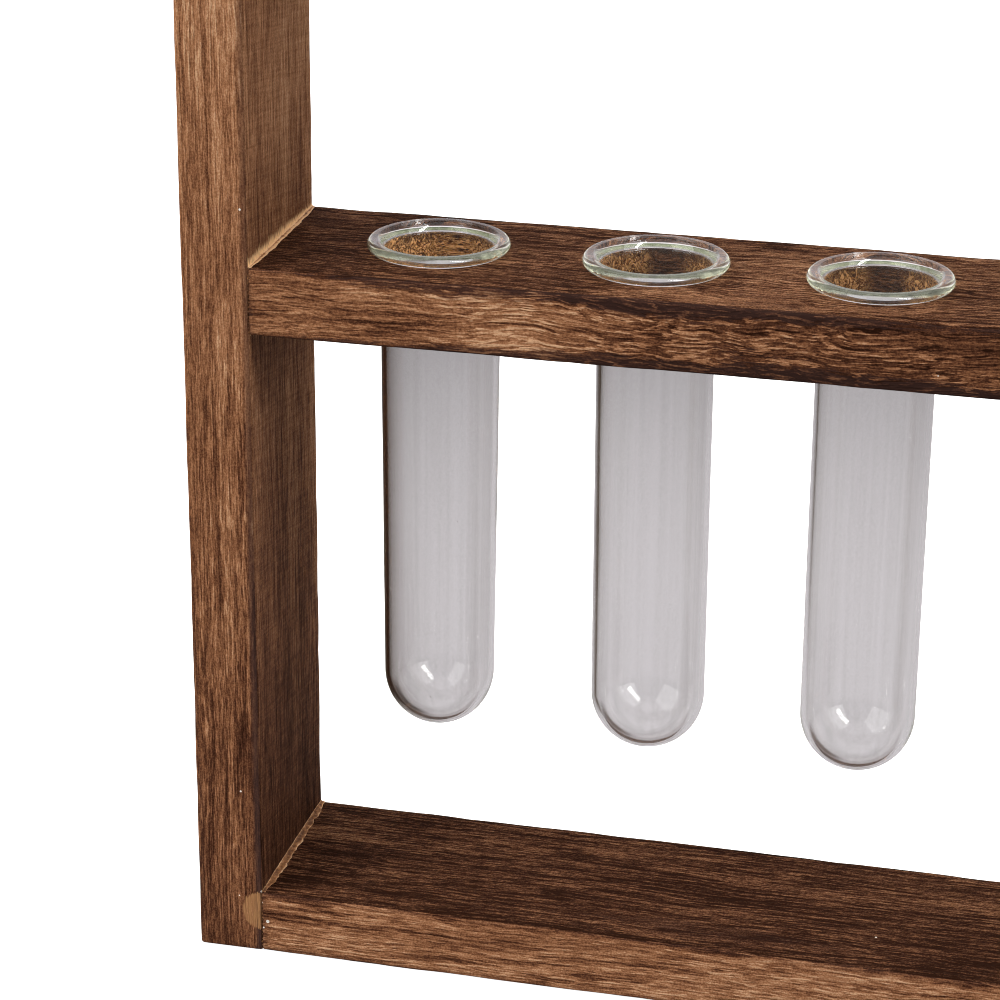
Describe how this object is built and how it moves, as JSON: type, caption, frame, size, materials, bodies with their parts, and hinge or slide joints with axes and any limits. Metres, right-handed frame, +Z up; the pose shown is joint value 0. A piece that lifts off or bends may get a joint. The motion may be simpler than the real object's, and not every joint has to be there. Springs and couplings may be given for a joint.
{
  "type": "test tube vase",
  "caption": "Upright wooden frame whose middle rail holds a row of round-bottomed glass test tubes by their flared lips, as a vase for single stems.",
  "frame": {"origin": "under the middle of the frame, on the surface that it stands on", "axes": "+X along the rails to the right, +Y through the boards to the back, +Z up along the posts"},
  "size_m": [0.3468, 0.057, 0.373],
  "materials": {
    "stained_wood": "brushed and scorched open-grain wood, matt, golden brown with dark burnt streaks",
    "dowel_wood": "plain beech, bare",
    "clear_glass": "clear drawn glass, fire-polished lip, faint green edge"
  },
  "bodies": {
    "frame": {"left_post": "stained_wood", "right_post": "stained_wood", "bottom_rail": "stained_wood", "tube_rail": "stained_wood", "top_rail": "stained_wood", "dowel_bottom_left_front": "dowel_wood", "dowel_bottom_left_back": "dowel_wood", "dowel_bottom_right_front": "dowel_wood", "dowel_bottom_right_back": "dowel_wood", "dowel_tube_left_front": "dowel_wood", "dowel_tube_left_back": "dowel_wood", "dowel_tube_right_front": "dowel_wood", "dowel_tube_right_back": "dowel_wood", "dowel_top_left_front": "dowel_wood", "dowel_top_left_back": "dowel_wood", "dowel_top_right_front": "dowel_wood", "dowel_top_right_back": "dowel_wood"},
    "tube_1": {"tube_1": "clear_glass"},
    "tube_2": {"tube_2": "clear_glass"},
    "tube_3": {"tube_3": "clear_glass"},
    "tube_4": {"tube_4": "clear_glass"},
    "tube_5": {"tube_5": "clear_glass"}
  },
  "joints": [
    {"name": "tube_1_lift", "type": "slide", "parent": "frame", "child": "tube_1", "axis": [0, 0, 1], "range_m": [0, 0.138]},
    {"name": "tube_2_lift", "type": "slide", "parent": "frame", "child": "tube_2", "axis": [0, 0, 1], "range_m": [0, 0.138]},
    {"name": "tube_3_lift", "type": "slide", "parent": "frame", "child": "tube_3", "axis": [0, 0, 1], "range_m": [0, 0.138]},
    {"name": "tube_4_lift", "type": "slide", "parent": "frame", "child": "tube_4", "axis": [0, 0, 1], "range_m": [0, 0.138]},
    {"name": "tube_5_lift", "type": "slide", "parent": "frame", "child": "tube_5", "axis": [0, 0, 1], "range_m": [0, 0.138]}
  ]
}
